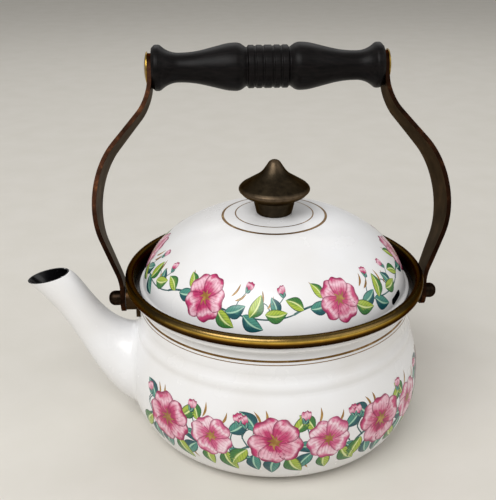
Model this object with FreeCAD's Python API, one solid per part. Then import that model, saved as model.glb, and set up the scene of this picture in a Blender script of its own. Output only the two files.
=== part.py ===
import FreeCAD
import Part
import math
import os

# Stove-top kettle in enamelled steel: pot with spout, brass rim band, domed lid with a knob,
# and a swinging strap handle with a turned grip.
# Millimetres. The origin is the middle of the base, +Z is up, the spout points to -X.

# Pot, outside radius of the belly, and steps in or out from it
belly_r = 94.8
base_inset = 12.8
groove_inset = 5.8
ridge_step = 2.45
shoulder_step = 0.45
neck_inset = 2.6

# Pot, heights from one level to the next, from the base up
belly_start_rise = 24.3
belly_straight = 27.8
belly_top_rise = 14.1
ridge_height = 5.1
ridge_top_rise = 4.3
shoulder_height = 8.4
shoulder_top_rise = 7.0
neck_height = 4.2
rim_height = 9.5

# Pot, sheet and outside bend radii
wall = 1.2
base_bend = 21.0
belly_low_bend = 34.0
belly_top_bend = 60.0
groove_bend = 6.0
ridge_bend = 7.0
shoulder_foot_bend = 9.0
shoulder_bend = 22.0
neck_bend = 4.0
ledge_bend = 0.4
rim_bend = 2.0

# Fits
curved_seat = 0.1
running_fit = 0.05
face_play = 0.1

# Lid
lid_sheet = 1.0
lid_crown_rise = 47.6
crown_corner_inset = 36.5
crown_bend = 86.0
dome_side_rise = 20.1
dome_side_inset = 3.3
dome_bend = 40.0
dome_foot_rise = 3.8
dome_foot_step = 1.6
dome_foot_bend = 1.2
brim_width = 2.4
brim_rise = 2.6
brim_bend = 0.9

# Collar under the lid
collar_clearance = 1.0
collar_sheet = 0.9
collar_below_ledge = 8.4
collar_above_ledge = 6.0

# Steam vent slot in the lid
vent_length = 14.0
vent_width = 4.0
vent_above_ledge = 7.8
vent_azimuth = -31.5
vent_tilt = 22.0
vent_slant = 8.0
vent_cut_half_depth = 4.0

# Rim band
band_sheet = 0.8
band_lid_gap = 3.5
band_overhang = 3.2
band_top_above_rim = 1.9
band_outer_height = 7.0
band_lean = 1.4
band_waist_drop = 2.6
band_inner_bend = 1.8
band_outer_bend = 2.6
band_waist_bend = 1.5
band_lip_bend = 0.9
band_floor_gap = 0.1

# Spout, from root to mouth: reach past the belly and height over its middle, for the upper point
# and the lower point of each section, and the half width of the section
spout_sections = [
    (-15.8, 30.8, -12.8, -28.2, 29.0),
    (-7.4, 28.8, 11.2, -14.2, 23.5),
    (3.7, 31.9, 25.7, 7.3, 15.8),
    (18.8, 46.0, 38.6, 32.2, 11.8),
    (27.0, 58.3, 47.0, 45.3, 11.0),
    (36.0, 68.3, 62.4, 62.9, 10.3),
]
spout_wall = 1.0
spout_section_points = 16

# Handle pivots
pivot_below_ledge = 8.4
pivot_r = 3.0
pivot_screw_depth = 7.0
tab_band_gap = 0.8

# Ears that carry the pivots
ear_boss_r = 7.8
ear_foot_thickness = 2.6
ear_foot_half_width = 13.0
ear_foot_half_height = 7.4
ear_foot_drop = 3.0
ear_rivet_offset = 9.2
ear_rivet_drop = 6.8
ear_rivet_r = 1.6
ear_rivet_head_r = 2.8
ear_rivet_head_height = 1.2
ear_rivet_seat = 0.2

# Washers and cap nuts on the pivots
washer_thickness = 0.4
washer_r = 6.4
cap_nut_r = 4.8
cap_nut_length = 7.9
cap_nut_dome = 4.0
cap_nut_hole_depth = 4.6

# Handle, how far it leans back from upright, in degrees
handle_lean = 25.0

# Handle arms: bent flat straps, sizes with the handle upright
strap = 2.8
tab_r = 8.6
grip_tab_r = 9.6
arm_bend_rise = 10.0
arm_bulge_out = 26.0
arm_bulge_rise = 70.0
arm_top_straight = 11.2
arm_low_bend = 24.0
arm_bulge_bend = 60.0
arm_top_bend = 34.0
arm_low_half_width = 17.5
arm_low_width_rise = 38.0
arm_mid_half_width = 15.5
arm_mid_width_rise = 84.0
arm_top_half_width = 9.6
arm_top_width_drop = 33.0
arm_side_bend = 200.0

# Grip, turned about the line between the arms: radii, then lengths from the middle outwards
grip_rise = 149.3
rib_r = 14.0
rib_groove_r = 12.6
grip_bulge_r = 15.6
grip_neck_r = 9.6
grip_end_r = 14.9
rib_middle_width = 6.4
rib_width = 5.3
ribs_each_side = 2
grip_groove_length = 0.6
grip_bulge_slope = 4.1
grip_bulge_length = 10.9
grip_taper_length = 24.0
grip_neck_length = 15.0
grip_flare_length = 6.5
grip_end_length = 5.1

# Grip, bends and edges
rib_slope = 1.0
rib_bend = 0.9
grip_bulge_edge_bend = 11.0
grip_bulge_bend = 51.0
grip_neck_bend = 68.0
grip_flare_bend = 16.0
grip_end_bend = 2.9
grip_end_chamfer = 2.0

# Rod through the grip, and the caps on its ends
rod_r = 3.0
cap_r = 10.6
cap_height = 2.0
cap_edge = 0.8
cap_bend = 0.9
cap_hole_depth = 1.1

# Knob
knob_stem_r = 11.0
knob_stem_top_r = 13.2
knob_stem_height = 9.0
knob_under_r = 19.8
knob_under_rise = 3.6
knob_rim_r = 22.7
knob_rim_rise = 3.1
knob_shoulder_r = 20.6
knob_shoulder_rise = 2.3
knob_waist_r = 8.2
knob_waist_rise = 7.8
knob_tip_r = 2.6
knob_tip_rise = 8.5
knob_stem_bend = 1.0
knob_under_bend = 2.0
knob_rim_bend = 1.6
knob_shoulder_bend = 3.0
knob_waist_bend = 16.0
knob_tip_bend = 4.0

# Screw and washer that hold the knob
screw_r = 2.0
screw_depth = 12.0
screw_head_r = 4.4
screw_head_height = 2.2
knob_washer_r = 7.0
knob_washer_thickness = 1.0

# Levels worked out from the heights
belly_start_z = belly_start_rise
belly_end_z = belly_start_z + belly_straight
groove_z = belly_end_z + belly_top_rise
ridge_z = groove_z + ridge_height
shoulder_foot_z = ridge_z + ridge_top_rise
shoulder_z = shoulder_foot_z + shoulder_height
neck_z = shoulder_z + shoulder_top_rise
ledge_under_z = neck_z + neck_height
ledge_z = ledge_under_z + wall
rim_z = ledge_under_z + rim_height
band_z = rim_z + band_top_above_rim
belly_middle_z = (belly_start_z + belly_end_z) / 2
crown_z = ledge_z + lid_crown_rise
pivot_z = ledge_under_z - pivot_below_ledge
ear_foot_z = pivot_z - ear_foot_drop
ear_rivet_z = pivot_z - ear_rivet_drop
grip_z = pivot_z + grip_rise

# Grip stations worked out from its lengths
rib_row_half = rib_middle_width / 2 + ribs_each_side * rib_width
grip_bulge_start = rib_row_half + grip_groove_length
grip_bulge_end = grip_bulge_start + grip_bulge_length
grip_neck_start = grip_bulge_end + grip_taper_length
grip_neck_end = grip_neck_start + grip_neck_length
grip_end_start = grip_neck_end + grip_flare_length
grip_half_length = grip_end_start + grip_end_length

# Radii worked out from the belly, then from the neck outwards
base_corner_r = belly_r - base_inset
groove_r = belly_r - groove_inset
shoulder_foot_r = groove_r - ridge_step
shoulder_r = shoulder_foot_r + shoulder_step
neck_r = shoulder_r - neck_inset
collar_r = neck_r - wall - collar_clearance
dome_foot_r = collar_r + dome_foot_step
dome_side_r = dome_foot_r - dome_side_inset
crown_corner_r = dome_side_r - crown_corner_inset
brim_r = dome_foot_r + brim_width
band_inner_r = brim_r + band_lid_gap
rim_r = band_inner_r + band_sheet + curved_seat + wall
band_r = rim_r + band_overhang
tab_x = band_r + tab_band_gap
ear_face_x = tab_x - face_play - washer_thickness
nut_x = tab_x + strap + face_play
cap_x = grip_half_length + strap

UP = FreeCAD.Vector(0, 0, 1)
ALONG_X = FreeCAD.Vector(1, 0, 0)
ORIGIN = FreeCAD.Vector(0, 0, 0)
FULL_TURN = 360


# Outlines: corners (radius or X, height, bend), joined by straight lines and tangent arcs

def direction(start, end):
    """Unit vector from one corner to the next."""
    run = end[0] - start[0]
    rise = end[1] - start[1]
    length = math.hypot(run, rise)
    return run / length, rise / length


def turn_at(corners, i):
    """Signed turn at a corner, positive to the left."""
    a = direction(corners[i - 1], corners[i])
    b = direction(corners[i], corners[i + 1])
    return math.atan2(a[0] * b[1] - a[1] * b[0], a[0] * b[0] + a[1] * b[1])


def fitted(corners):
    """The corners with each bend limited to the room that its two sides leave."""
    tangents = [0.0] * len(corners)
    for i in range(1, len(corners) - 1):
        tangents[i] = corners[i][2] * math.tan(abs(turn_at(corners, i)) / 2)
    for i in range(1, len(corners)):
        side = math.dist(corners[i - 1][:2], corners[i][:2])
        wanted = tangents[i - 1] + tangents[i]
        if wanted > side:
            tangents[i - 1] *= side / wanted
            tangents[i] *= side / wanted
    result = [corners[0]]
    for i in range(1, len(corners) - 1):
        half_tangent = math.tan(abs(turn_at(corners, i)) / 2)
        bend = tangents[i] / half_tangent if half_tangent else 0.0
        result.append((corners[i][0], corners[i][1], bend))
    result.append(corners[-1])
    return result


def shifted(corners, distance):
    """Fitted corners moved sideways by a distance, positive to the left of travel."""
    result = []
    last = len(corners) - 1
    for i, (x, z, bend) in enumerate(corners):
        before = direction(corners[i - 1], corners[i]) if i else direction(corners[0], corners[1])
        after = direction(corners[i], corners[i + 1]) if i < last else before
        mitre = 1 + before[0] * after[0] + before[1] * after[1]
        step_x = -(before[1] + after[1]) * distance / mitre
        step_z = (before[0] + after[0]) * distance / mitre
        turn = turn_at(corners, i) if 0 < i < last else 0.0
        bend = max(bend - distance * math.copysign(1, turn), 0.0) if bend else 0.0
        result.append((x + step_x, z + step_z, bend))
    return result


def outline_edges(corners):
    """Lines and tangent arcs through fitted corners, in the XZ plane."""
    edges = []
    here = FreeCAD.Vector(corners[0][0], 0, corners[0][1])
    for i in range(1, len(corners)):
        corner = FreeCAD.Vector(corners[i][0], 0, corners[i][1])
        turn = turn_at(corners, i) if i < len(corners) - 1 else 0.0
        tangent = corners[i][2] * math.tan(abs(turn) / 2)
        into_x, into_z = direction(corners[i - 1], corners[i])
        into = FreeCAD.Vector(into_x, 0, into_z)
        arc_start = corner - into * tangent
        if (arc_start - here).Length > Part.Precision.confusion():
            edges.append(Part.LineSegment(here, arc_start).toShape())
        here = arc_start
        if tangent > Part.Precision.confusion():
            out_x, out_z = direction(corners[i], corners[i + 1])
            out = FreeCAD.Vector(out_x, 0, out_z)
            arc_end = corner + out * tangent
            reach = corners[i][2] * (1 / math.cos(turn / 2) - 1)
            middle = corner + (out - into).normalize() * reach
            edges.append(Part.Arc(here, middle, arc_end).toShape())
            here = arc_end
    return edges


def closed_face(*runs):
    """Face inside runs of corners, joined end to start by straight lines."""
    corners = [(run[0], run[-1]) for run in runs]
    edges = []
    for i, run in enumerate(runs):
        edges += outline_edges(run)
        start = corners[i][1]
        end = corners[(i + 1) % len(runs)][0]
        if math.dist(start[:2], end[:2]) > Part.Precision.confusion():
            tail = FreeCAD.Vector(start[0], 0, start[1])
            head = FreeCAD.Vector(end[0], 0, end[1])
            edges.append(Part.LineSegment(tail, head).toShape())
    return Part.Face(Part.Wire(Part.__sortEdges__(edges)))


def sheet_face(corners, thickness):
    """Face of a bent sheet: the outline and its copy shifted to the left."""
    outside = fitted(corners)
    return closed_face(outside, shifted(outside, thickness)[::-1])


def turned_sheet(corners, thickness):
    return sheet_face(corners, thickness).revolve(ORIGIN, UP, FULL_TURN)


def turned_solid(corners):
    return closed_face(fitted(corners)).revolve(ORIGIN, UP, FULL_TURN)


def about_x(shape, centre):
    """A shape turned about Z, laid with its axis along +X from a point."""
    laid = shape.copy()
    laid.rotate(ORIGIN, FreeCAD.Vector(0, 1, 0), FULL_TURN / 4)
    laid.translate(centre)
    return laid


def rod_x(radius, start_x, end_x, z):
    start = FreeCAD.Vector(start_x, 0, z)
    return Part.makeCylinder(radius, end_x - start_x, start, ALONG_X)


def on_left(shape):
    """The same piece on the spout side."""
    return shape.mirror(ORIGIN, ALONG_X)


def leaned(shape):
    """A piece of the handle, swung back from upright about the pivots."""
    swung = shape.copy()
    swung.rotate(UP * pivot_z, ALONG_X, -handle_lean)
    return swung


# Pot

def pot_corners():
    return [
        (0.0, 0.0, 0.0),
        (base_corner_r, 0.0, base_bend),
        (belly_r, belly_start_z, belly_low_bend),
        (belly_r, belly_end_z, belly_top_bend),
        (groove_r, groove_z, groove_bend),
        (groove_r, ridge_z, ridge_bend),
        (shoulder_foot_r, shoulder_foot_z, shoulder_foot_bend),
        (shoulder_r, shoulder_z, shoulder_bend),
        (neck_r, neck_z, neck_bend),
        (neck_r, ledge_under_z, ledge_bend),
        (rim_r, ledge_under_z, rim_bend),
        (rim_r, rim_z, 0.0),
    ]


def pot_filled():
    """The pot as a solid block, to trim what is fastened to its outside."""
    return turned_solid(pot_corners() + [(0.0, rim_z, 0.0)])


def spout_section(upper_reach, upper_rise, lower_reach, lower_rise, half_width, inset):
    """Closed oval of one spout section, in from the outside by the inset."""
    upper = FreeCAD.Vector(-belly_r - upper_reach, 0, belly_middle_z + upper_rise)
    lower = FreeCAD.Vector(-belly_r - lower_reach, 0, belly_middle_z + lower_rise)
    centre = (upper + lower) / 2
    half_height = (upper - lower).Length / 2 - inset
    across = (upper - lower).normalize()
    points = []
    for k in range(spout_section_points):
        angle = 2 * math.pi * k / spout_section_points
        side = FreeCAD.Vector(0, (half_width - inset) * math.sin(angle), 0)
        points.append(centre + across * (half_height * math.cos(angle)) + side)
    curve = Part.BSplineCurve()
    curve.interpolate(Points=points, PeriodicFlag=True)
    return Part.Wire(curve.toShape())


def spout_block(inset):
    wires = [spout_section(*section, inset) for section in spout_sections]
    return Part.makeLoft(wires, True)


def body_shell():
    return turned_sheet(pot_corners(), wall).cut(spout_block(spout_wall))


def spout():
    return spout_block(0.0).cut(spout_block(spout_wall)).cut(pot_filled())


def rim_band():
    """Band folded over the rim; its inner leg ends above the inside bend of the ledge."""
    leg_z = ledge_z + max(rim_bend - wall, 0.0) + band_floor_gap
    waist_z = band_z - band_outer_bend - band_waist_drop
    lip_r = band_r - band_lean
    lip_z = band_z - band_outer_height
    corners = [
        (band_inner_r, leg_z, 0.0),
        (band_inner_r, band_z, band_inner_bend),
        (band_r, band_z, band_outer_bend),
        (band_r, waist_z, band_waist_bend),
        (lip_r, lip_z, band_lip_bend),
        (rim_r + curved_seat, lip_z, 0.0),
    ]
    return turned_sheet(corners, -band_sheet)


# Ears and pivots, made on the right

def slot_prism(half_width, half_height, start_x, end_x, z):
    """Bar along X with a round-ended section, wide in Y."""
    flat = half_width - half_height
    length = end_x - start_x
    corner = FreeCAD.Vector(start_x, -flat, z - half_height)
    prism = Part.makeBox(length, 2 * flat, 2 * half_height, corner)
    for y in (-flat, flat):
        end = FreeCAD.Vector(start_x, y, z)
        prism = prism.fuse(Part.makeCylinder(half_height, length, end, ALONG_X))
    return prism.removeSplitter()


def pivot_hole():
    return rod_x(pivot_r + running_fit, ear_face_x - pivot_screw_depth, ear_face_x, pivot_z)


def ear():
    foot = turned_sheet(pot_corners(), -ear_foot_thickness)
    prism = slot_prism(ear_foot_half_width, ear_foot_half_height, 0.0, ear_face_x, ear_foot_z)
    boss = rod_x(ear_boss_r, 0.0, ear_face_x, pivot_z).cut(pot_filled())
    return foot.common(prism).fuse(boss).removeSplitter().cut(pivot_hole()).cut(rivet_holes())


def rivet_wall_r():
    """Outside radius of the pot at the level of the rivets."""
    share = (ear_rivet_z - shoulder_foot_z) / shoulder_height
    return shoulder_foot_r + share * shoulder_step


def on_rivet_axes(shape):
    """A shape along X at the rivets' level, turned to each rivet of one ear."""
    angle = math.degrees(math.asin(ear_rivet_offset / rivet_wall_r()))
    copies = []
    for turn in (-angle, angle):
        rivet = shape.copy()
        rivet.rotate(ORIGIN, UP, turn)
        copies.append(rivet)
    return Part.makeCompound(copies)


def rivet_holes():
    end_x = rivet_wall_r() + ear_foot_thickness + ear_rivet_head_height
    start_x = rivet_wall_r() - wall - ear_rivet_head_height
    return on_rivet_axes(rod_x(ear_rivet_r + curved_seat, start_x, end_x, ear_rivet_z))


def ear_rivets():
    """One ear's rivets: a head inside the wall, and a shank that ends flush with the foot."""
    seat_x = rivet_wall_r() - wall - ear_rivet_seat
    end_x = rivet_wall_r() + ear_foot_thickness
    head = rod_x(ear_rivet_head_r, seat_x - ear_rivet_head_height, seat_x, ear_rivet_z)
    return on_rivet_axes(head.fuse(rod_x(ear_rivet_r, seat_x, end_x, ear_rivet_z)))


# Handle, made upright and leaned back at the end

def pivot_stud():
    end_x = nut_x + cap_nut_hole_depth
    return rod_x(pivot_r, ear_face_x - pivot_screw_depth, end_x, pivot_z)


def pivot_washer():
    disc = rod_x(washer_r, ear_face_x, ear_face_x + washer_thickness, pivot_z)
    hole = rod_x(pivot_r + running_fit, ear_face_x, ear_face_x + washer_thickness, pivot_z)
    return disc.cut(hole)


def cap_nut():
    corners = [
        (0.0, 0.0, 0.0),
        (cap_nut_r, 0.0, 0.0),
        (cap_nut_r, cap_nut_length, cap_nut_dome),
        (0.0, cap_nut_length, 0.0),
    ]
    nut = about_x(turned_solid(corners), FreeCAD.Vector(nut_x, 0, pivot_z))
    return nut.cut(rod_x(pivot_r + running_fit, nut_x, nut_x + cap_nut_hole_depth, pivot_z))


def arm_side_face():
    """The strap's outline seen along X, drawn in the XZ plane with Y as X."""
    edge = [
        (tab_r, pivot_z, 0.0),
        (arm_low_half_width, pivot_z + arm_low_width_rise, arm_side_bend),
        (arm_mid_half_width, pivot_z + arm_mid_width_rise, arm_side_bend),
        (arm_top_half_width, grip_z - arm_top_width_drop, arm_side_bend),
        (grip_tab_r, grip_z, 0.0),
    ]
    right = fitted(edge)
    left = [(-y, z, bend) for y, z, bend in right]
    return closed_face(right, left[::-1])


def arm():
    middle_x = tab_x + strap / 2
    top_x = grip_half_length + strap / 2
    line = fitted([
        (middle_x, pivot_z - tab_r, 0.0),
        (middle_x, pivot_z + arm_bend_rise, arm_low_bend),
        (middle_x + arm_bulge_out, pivot_z + arm_bulge_rise, arm_bulge_bend),
        (top_x, grip_z - cap_r - arm_top_straight, arm_top_bend),
        (top_x, grip_z + grip_tab_r, 0.0),
    ])
    bar = closed_face(shifted(line, strap / 2), shifted(line, -strap / 2)[::-1])
    width = 2 * max(tab_r, grip_tab_r, arm_low_half_width, arm_mid_half_width)
    bar.translate(FreeCAD.Vector(0, -width / 2, 0))
    bar = bar.extrude(FreeCAD.Vector(0, width, 0))
    reach = middle_x + arm_bulge_out
    side = arm_side_face()
    side.rotate(ORIGIN, UP, FULL_TURN / 4)
    side = side.extrude(FreeCAD.Vector(reach, 0, 0))
    side = side.fuse(rod_x(tab_r, 0.0, reach, pivot_z))
    side = side.fuse(rod_x(grip_tab_r, 0.0, reach, grip_z))
    strap_solid = bar.common(side.removeSplitter())
    strap_solid = strap_solid.cut(rod_x(pivot_r + running_fit, 0.0, reach, pivot_z))
    return strap_solid.cut(rod_x(rod_r + running_fit, 0.0, reach, grip_z))


def rib_corners():
    """Ribs at the middle of the grip, from one end of the row to the other."""
    bounds = [rib_middle_width / 2 + k * rib_width for k in range(ribs_each_side + 1)]
    bounds = [-bound for bound in reversed(bounds)] + bounds
    corners = []
    for start, end in zip(bounds, bounds[1:]):
        corners += [
            (rib_groove_r, start, rib_bend),
            (rib_r, start + rib_slope, rib_bend),
            (rib_r, end - rib_slope, rib_bend),
        ]
    return corners + [(rib_groove_r, bounds[-1], rib_bend)]


def grip():
    half = [
        (rib_groove_r, grip_bulge_start, rib_bend),
        (grip_bulge_r, grip_bulge_start + grip_bulge_slope, grip_bulge_edge_bend),
        (grip_bulge_r, grip_bulge_end, grip_bulge_bend),
        (grip_neck_r, grip_neck_start, grip_neck_bend),
        (grip_neck_r, grip_neck_end, grip_flare_bend),
        (grip_end_r, grip_end_start, grip_end_bend),
        (grip_end_r, grip_half_length - grip_end_chamfer, grip_end_chamfer),
        (grip_end_r - grip_end_chamfer, grip_half_length, 0.0),
        (0.0, grip_half_length, 0.0),
    ]
    other = [(r, -x, bend) for r, x, bend in half[::-1]]
    turned = turned_solid(other + rib_corners() + half)
    body = about_x(turned, FreeCAD.Vector(0, 0, grip_z))
    return body.cut(rod_x(rod_r + running_fit, -grip_half_length, grip_half_length, grip_z))


def grip_rod():
    end_x = cap_x + cap_hole_depth
    return rod_x(rod_r, -end_x, end_x, grip_z)


def grip_cap():
    corners = [
        (0.0, 0.0, 0.0),
        (cap_r, 0.0, 0.0),
        (cap_r, cap_edge, cap_bend),
        (cap_r / 2, cap_height, cap_r),
        (0.0, cap_height, 0.0),
    ]
    cap = about_x(turned_solid(corners), FreeCAD.Vector(cap_x, 0, grip_z))
    return cap.cut(rod_x(rod_r + running_fit, cap_x, cap_x + cap_hole_depth, grip_z))


# Lid

def lid_corners():
    return [
        (0.0, crown_z, 0.0),
        (crown_corner_r, crown_z, crown_bend),
        (dome_side_r, ledge_z + dome_side_rise, dome_bend),
        (dome_foot_r, ledge_z + dome_foot_rise, dome_foot_bend),
        (brim_r, ledge_z + brim_rise, brim_bend),
        (brim_r, ledge_z, 0.0),
    ]


def vent_slot():
    """Round-ended cutter for the vent, pointing out of the side of the dome."""
    slot = slot_prism(vent_length / 2, vent_width / 2, -vent_cut_half_depth, vent_cut_half_depth, 0.0)
    slot.rotate(ORIGIN, ALONG_X, vent_slant)
    slot.rotate(ORIGIN, FreeCAD.Vector(0, 1, 0), -vent_tilt)
    lean = (dome_foot_r - dome_side_r) / (dome_side_rise - dome_foot_rise)
    radius = dome_foot_r - lean * (vent_above_ledge - dome_foot_rise)
    slot.translate(FreeCAD.Vector(radius, 0, ledge_z + vent_above_ledge))
    slot.rotate(ORIGIN, UP, vent_azimuth)
    return slot


def lid_shell():
    shell = turned_sheet(lid_corners(), -lid_sheet)
    hole_depth = 2 * lid_sheet
    hole = Part.makeCylinder(screw_r + curved_seat, hole_depth, UP * (crown_z - hole_depth), UP)
    return shell.cut(hole).cut(vent_slot())


def lid_collar():
    corners = [
        (collar_r, ledge_z + collar_above_ledge, 0.0),
        (collar_r, ledge_z - collar_below_ledge, 0.0),
    ]
    return turned_sheet(corners, -collar_sheet)


def knob():
    levels = [crown_z]
    rises = (
        knob_stem_height, knob_under_rise, knob_rim_rise,
        knob_shoulder_rise, knob_waist_rise, knob_tip_rise,
    )
    for rise in rises:
        levels.append(levels[-1] + rise)
    corners = [
        (0.0, levels[0], 0.0),
        (knob_stem_r, levels[0], knob_stem_bend),
        (knob_stem_top_r, levels[1], knob_stem_bend),
        (knob_under_r, levels[2], knob_under_bend),
        (knob_rim_r, levels[3], knob_rim_bend),
        (knob_shoulder_r, levels[4], knob_shoulder_bend),
        (knob_waist_r, levels[5], knob_waist_bend),
        (knob_tip_r, levels[6], knob_tip_bend),
        (0.0, levels[6], 0.0),
    ]
    hole = Part.makeCylinder(screw_r + running_fit, screw_depth, UP * crown_z, UP)
    return turned_solid(corners).cut(hole)


def knob_washer():
    z = crown_z - lid_sheet - knob_washer_thickness
    disc = Part.makeCylinder(knob_washer_r, knob_washer_thickness, UP * z, UP)
    return disc.cut(Part.makeCylinder(screw_r + curved_seat, knob_washer_thickness, UP * z, UP))


def knob_screw():
    seat_z = crown_z - lid_sheet - knob_washer_thickness
    head = Part.makeCylinder(screw_head_r, screw_head_height, UP * (seat_z - screw_head_height), UP)
    shank = Part.makeCylinder(screw_r, crown_z + screw_depth - seat_z, UP * seat_z, UP)
    return head.fuse(shank).removeSplitter()


def main():
    rights = {
        "ear": ear(),
        "ear_rivets": ear_rivets(),
        "pivot_stud": pivot_stud(),
        "pivot_washer": pivot_washer(),
        "cap_nut": cap_nut(),
        "handle_arm": leaned(arm()),
        "grip_cap": leaned(grip_cap()),
    }
    shell = body_shell()
    shell = shell.cut(rivet_holes()).cut(on_left(rivet_holes()))
    nodes = {
        "body_shell": shell,
        "spout": spout(),
        "rim_band": rim_band(),
        "grip": leaned(grip()),
        "grip_rod": leaned(grip_rod()),
        "lid_shell": lid_shell(),
        "lid_collar": lid_collar(),
        "knob": knob(),
        "knob_screw": knob_screw(),
        "knob_washer": knob_washer(),
    }
    for name, shape in rights.items():
        nodes[name + "_right"] = shape
        nodes[name + "_left"] = on_left(shape)
    os.makedirs("parts", exist_ok=True)
    for name, shape in nodes.items():
        shape.exportStep("parts/" + name + ".step")
        print(name, len(shape.Solids), shape.isValid(), round(shape.Volume))


main()
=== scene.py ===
import math
import random

import bmesh
import bpy
from mathutils import Matrix, Vector
from mathutils.bvhtree import BVHTree
from mathutils.geometry import interpolate_bezier


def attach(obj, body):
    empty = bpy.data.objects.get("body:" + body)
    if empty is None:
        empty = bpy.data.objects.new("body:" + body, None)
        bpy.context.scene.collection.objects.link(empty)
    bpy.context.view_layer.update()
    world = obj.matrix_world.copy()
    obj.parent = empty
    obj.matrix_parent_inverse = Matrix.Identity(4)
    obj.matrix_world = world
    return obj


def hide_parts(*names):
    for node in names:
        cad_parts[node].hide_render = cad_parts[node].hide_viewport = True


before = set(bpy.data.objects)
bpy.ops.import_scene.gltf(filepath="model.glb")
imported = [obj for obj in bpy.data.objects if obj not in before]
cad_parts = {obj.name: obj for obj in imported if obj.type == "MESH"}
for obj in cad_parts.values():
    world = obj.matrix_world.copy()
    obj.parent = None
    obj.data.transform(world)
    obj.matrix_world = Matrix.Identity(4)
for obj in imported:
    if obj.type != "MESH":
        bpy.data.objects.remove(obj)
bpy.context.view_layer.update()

# Enamelled stove-top kettle. The scene is in metres and the named sizes are in millimetres.
# The spout points to -X, +Z is up.
MM = 0.001
UP = Vector((0, 0, 1))
SIDES = (("left", -1), ("right", 1))
SEAM_TOLERANCE = 0.002
FULL_TURN = 2 * math.pi
RING_STEPS = 240

# Handle: its pivots, its grip with the handle upright, and how far it leans back
PIVOT_Z = 86.8
GRIP_Z = 236.1
HANDLE_LEAN = math.radians(25)

# Strap arms, right side, upright: the eyes, the sheet, the bends of the centre line with their radii,
# the half widths along the strap with their easing, and the steps of the mesh
TAB_R = 8.6
GRIP_TAB_R = 9.6
STRAP_THICKNESS = 2.8
STRAP_EDGE_ROUND = 1.2
STRAP_LOW_X = 97.2
STRAP_TOP_X = 77.3
STRAP_BENDS = [(STRAP_LOW_X, 96.8, 24.0), (123.2, 156.8, 60.0), (STRAP_TOP_X, 214.3, 34.0)]
STRAP_HALF_WIDTHS = [
    (PIVOT_Z, TAB_R), (124.8, 17.5), (170.8, 15.5), (203.1, GRIP_TAB_R), (GRIP_Z, GRIP_TAB_R),
]
STRAP_EASE = 18
STRAP_ROW = 3.0
TAB_ROWS = 9

# Radius of the enamel pooled round the spout's root, the gap that still counts as the spout's seat,
# and the spout's axis from root to mouth, with the steps taken between its knots
SEAM_R = 4.0
SEAT_GAP = 0.1
SPOUT_AXIS = [
    (-80.5, 39.5), (-93.0, 46.0), (-109.5, 57.8), (-123.5, 77.3), (-131.8, 90.0), (-144.0, 103.8),
]
AXIS_STEPS = 6

# Height on the axis that the outer face of the lid looks away from
LID_INNER_Z = 60

# At scale 1 a wave texture repeats once in this many units; a printed petal or leaf has so many veins
WAVE_UNIT = 0.314
PRINT_VEINS = 7


# Small helpers

def srgb(code):
    """Linear colour from an sRGB hex value."""
    parts = [int(code[i:i + 2], 16) / 255 for i in (1, 3, 5)]
    linear = [c / 12.92 if c <= 0.04045 else ((c + 0.055) / 1.055) ** 2.4 for c in parts]
    return linear + [1.0]


def add(tree, kind, inputs=None, stops=(), **settings):
    """Adds a shader node: its settings, its inputs as values or other nodes' outputs, its colour stops."""
    node = tree.nodes.new("ShaderNode" + kind)
    for name, value in settings.items():
        setattr(node, name, value)
    for name, value in (inputs or {}).items():
        if isinstance(value, bpy.types.NodeSocket):
            tree.links.new(value, node.inputs[name])
        else:
            node.inputs[name].default_value = value
    for i, (place, code) in enumerate(stops):
        stop = node.color_ramp.elements[i] if i < 2 else node.color_ramp.elements.new(place)
        stop.position = place
        stop.color = srgb(code)
    return node


def new_material(name, **constants):
    """A material with its shader's constant values set, and its node tree and shader."""
    material = bpy.data.materials.new(name)
    material.use_nodes = True
    shader = material.node_tree.nodes["Principled BSDF"]
    for socket, value in constants.items():
        shader.inputs[socket.replace("_", " ")].default_value = value
    return material, material.node_tree, shader


def wire(tree, shader, **outputs):
    """Links node outputs to the shader's sockets."""
    for socket, output in outputs.items():
        tree.links.new(output, shader.inputs[socket.replace("_", " ")])


def piece(name, bm, body, materials, stands_for=()):
    """A finished smooth mesh on its body and its materials."""
    for face in bm.faces:
        face.smooth = True
    mesh = bpy.data.meshes.new(name)
    bm.to_mesh(mesh)
    bm.free()
    obj = bpy.data.objects.new(name, mesh)
    bpy.context.scene.collection.objects.link(obj)
    for material in materials:
        mesh.materials.append(material)
    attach(obj, body)
    if stands_for:
        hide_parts(*stands_for)
    return obj


# Materials

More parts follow.
